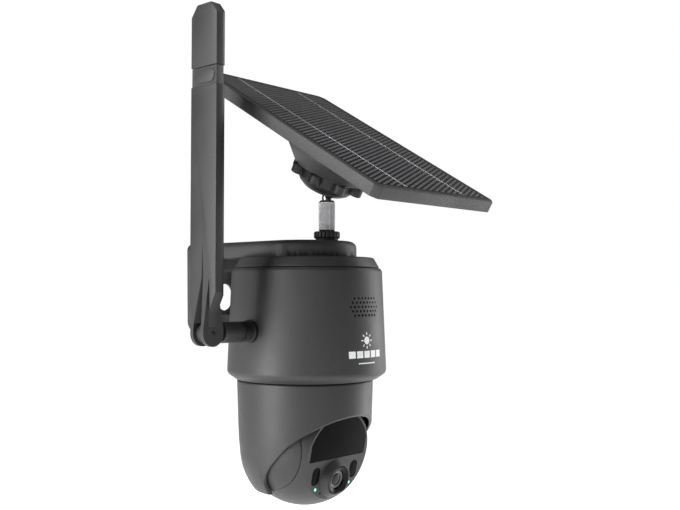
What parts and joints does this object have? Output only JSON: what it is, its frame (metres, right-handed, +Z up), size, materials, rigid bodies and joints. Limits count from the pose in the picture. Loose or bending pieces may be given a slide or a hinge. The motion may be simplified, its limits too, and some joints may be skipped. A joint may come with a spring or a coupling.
{
  "type": "solar security camera",
  "caption": "Pan-and-tilt outdoor camera hung under a wall arm, with a folding aerial and a solar panel on a ball joint above it.",
  "frame": {"origin": "on the centre line of the wall plate's back face, level with the top of the camera's lid", "axes": "+Z up, +Y into the wall, the camera faces -Y and the aerial is on its -X side"},
  "size_m": [0.1574, 0.1985, 0.3203],
  "materials": {
    "housing_grey": "fine textured",
    "dark_plastic": "satin",
    "black_gloss": "gloss",
    "chrome": "knurled",
    "steel": "satin",
    "brass": "satin",
    "nylon": "satin",
    "board": "satin",
    "cell": "gloss",
    "clear": "gloss",
    "rubber": "matte",
    "solar_cells": "gloss"
  },
  "bodies": {
    "camera_body": {"wall_bracket": "housing_grey", "arm_screw_1": "steel", "arm_screw_2": "steel", "arm_screw_3": "steel", "arm_screw_4": "steel", "lid": "housing_grey", "lid_gasket": "rubber", "drum_shell": "housing_grey", "drum_floor": "dark_plastic", "pan_bearing": "steel", "battery_cell_1": "cell", "battery_cell_2": "cell", "battery_cell_3": "cell", "battery_tray": "dark_plastic", "main_board": "board", "speaker": "dark_plastic", "usb_socket": "steel", "antenna_jack": "dark_plastic", "pan_motor": "steel"},
    "pan_body": {"pan_gear": "nylon", "pan_housing": "housing_grey", "side_cap_left": "housing_grey", "side_cap_right": "housing_grey", "tilt_bush_left": "nylon", "tilt_bush_right": "nylon", "tilt_motor": "steel", "tilt_motor_bracket": "steel"},
    "pan_pinion_body": {"pan_pinion": "brass"},
    "tilt_pinion_body": {"tilt_pinion": "brass"},
    "tilt_head": {"head_front_shell": "housing_grey", "head_rear_shell": "housing_grey", "head_window": "black_gloss", "lens_ring": "black_gloss", "lens_barrel": "dark_plastic", "lens_glass": "clear", "sensor_board": "board", "led_lens_left": "black_gloss", "led_lens_right": "black_gloss", "status_led_left": "clear", "status_led_right": "clear", "trunnion_left": "dark_plastic", "trunnion_right": "dark_plastic", "tilt_gear": "nylon"},
    "antenna_swivel_body": {"antenna_sleeve": "housing_grey"},
    "antenna_arm": {"antenna_blade": "housing_grey", "antenna_cap": "housing_grey", "antenna_pin": "steel"},
    "stud_body": {"panel_stud": "chrome"},
    "lock_nut_body": {"lock_nut": "dark_plastic"},
    "ball_seat_body": {"ball_seat": "nylon"},
    "panel_body": {"panel_boss": "housing_grey", "panel_frame": "housing_grey", "panel_back_plate": "dark_plastic", "solar_laminate": "solar_cells"},
    "clamp_ring_body": {"clamp_ring": "dark_plastic"},
    "port_cover_body": {"port_cover": "dark_plastic"},
    "button_body": {"power_button": "dark_plastic"}
  },
  "joints": [
    {"name": "pan", "type": "hinge", "parent": "camera_body", "child": "pan_body", "pos_m": [0, -0.0844, -0.08], "axis": [0, 0, 1], "range_deg": [-170, 170]},
    {"name": "pan_pinion_spin", "type": "hinge", "parent": "camera_body", "child": "pan_pinion_body", "pos_m": [0.0208, -0.0844, -0.074], "axis": [0, 0, 1], "range_deg": [-570, 570]},
    {"name": "tilt", "type": "hinge", "parent": "pan_body", "child": "tilt_head", "pos_m": [0, -0.0844, -0.1238], "axis": [1, 0, 0], "range_deg": [-12.5, 77.5]},
    {"name": "tilt_pinion_spin", "type": "hinge", "parent": "pan_body", "child": "tilt_pinion_body", "pos_m": [0, -0.0844, -0.1046], "axis": [1, 0, 0], "range_deg": [-240, 240]},
    {"name": "antenna_swivel", "type": "hinge", "parent": "camera_body", "child": "antenna_swivel_body", "pos_m": [-0.07, -0.086, -0.0482], "axis": [1, 0, 0], "range_deg": [-15, 120]},
    {"name": "antenna_fold", "type": "hinge", "parent": "antenna_swivel_body", "child": "antenna_arm", "pos_m": [-0.0884, -0.086, -0.0482], "axis": [0, -1, 0], "range_deg": [0, 90]},
    {"name": "stud_turn", "type": "hinge", "parent": "camera_body", "child": "stud_body", "pos_m": [0, -0.1043, 0.006], "axis": [0, 0, 1], "range_deg": [-35, 12]},
    {"name": "lock_nut_turn", "type": "hinge", "parent": "camera_body", "child": "lock_nut_body", "pos_m": [0, -0.1043, 0.0143], "axis": [0, 0, 1], "range_deg": [-180, 180]},
    {"name": "panel_pitch", "type": "hinge", "parent": "stud_body", "child": "ball_seat_body", "pos_m": [0, -0.1043, 0.053], "axis": [1, 0, 0], "range_deg": [-35, 6]},
    {"name": "panel_roll", "type": "hinge", "parent": "ball_seat_body", "child": "panel_body", "pos_m": [0, -0.1043, 0.053], "axis": [0, 0.8599, 0.5105], "range_deg": [-12, 12]},
    {"name": "clamp_ring_turn", "type": "hinge", "parent": "panel_body", "child": "clamp_ring_body", "pos_m": [0, -0.1043, 0.053], "axis": [0, -0.5105, 0.8599], "range_deg": [-90, 90]},
    {"name": "port_cover_open", "type": "hinge", "parent": "camera_body", "child": "port_cover_body", "pos_m": [0.0521, -0.086, -0.0681], "axis": [0, 1, 0], "range_deg": [0, 100]},
    {"name": "power_button_press", "type": "slide", "parent": "camera_body", "child": "button_body", "axis": [-1, 0, 0], "range_m": [0, 0.0008], "stiffness_N_per_m": 400}
  ],
  "couplings": [
    {"joint": "pan_pinion_spin", "follows": "pan", "ratio": -3.3333},
    {"joint": "tilt_pinion_spin", "follows": "tilt", "ratio": -3}
  ]
}
